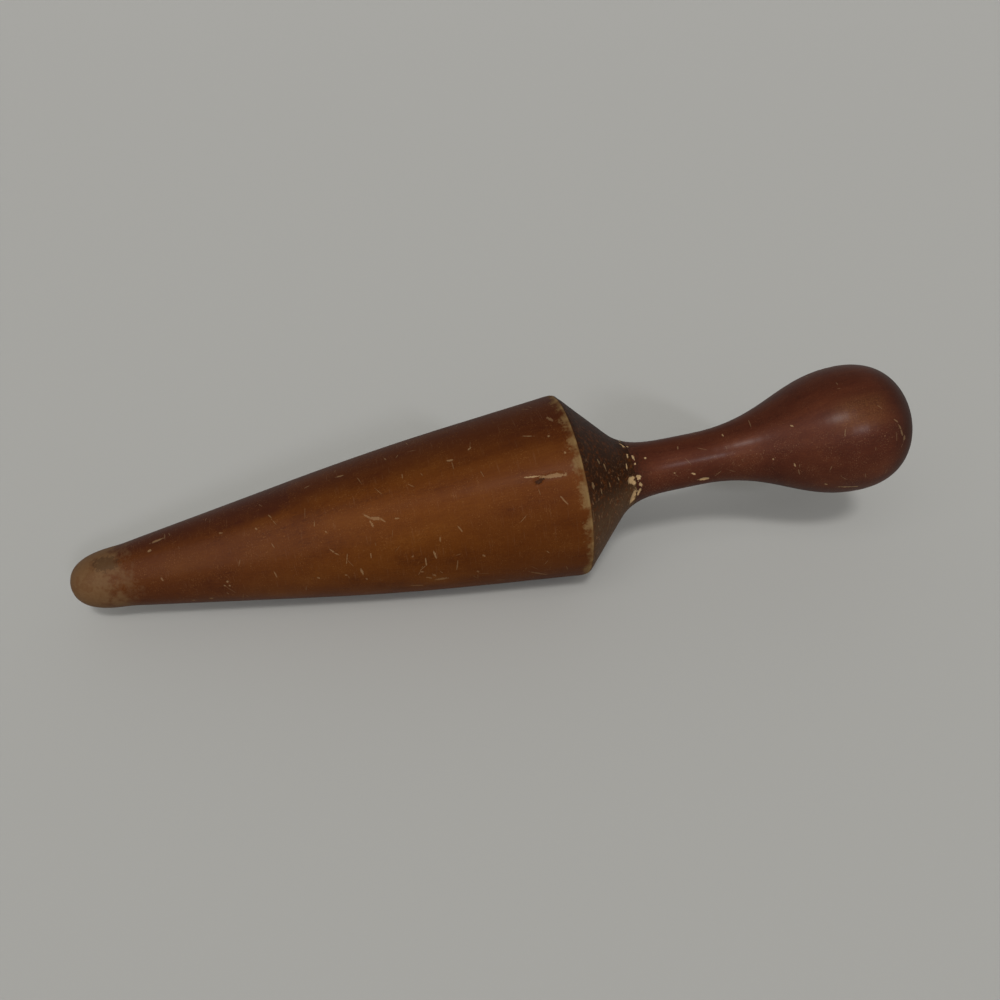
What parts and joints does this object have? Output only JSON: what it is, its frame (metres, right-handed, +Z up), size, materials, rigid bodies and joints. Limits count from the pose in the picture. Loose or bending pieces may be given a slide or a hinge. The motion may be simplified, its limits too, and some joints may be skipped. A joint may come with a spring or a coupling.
{
  "type": "conical masher",
  "caption": "Turned wooden masher: a blunt cone works soft food through a cone-shaped sieve, and a slim neck swells to a pear-shaped knob held in the palm.",
  "frame": {"origin": "middle of the footprint of the lying masher, on the surface it lies on", "axes": "+X from the tip to the knob, level; +Z up; the masher's own axis lies in the XZ plane and rises towards the knob by the slope of the head's upper taper, 6.2 degrees"},
  "size_m": [0.3284, 0.0714, 0.0742],
  "materials": {
    "head_wood": "worn semi-gloss brown varnish on a stained hardwood, rubbed pale at the tip and along the rim",
    "handle_wood": "worn semi-gloss red-brown varnish on a stained hardwood"
  },
  "bodies": {
    "root": {"head": "head_wood", "handle": "handle_wood"}
  },
  "joints": []
}
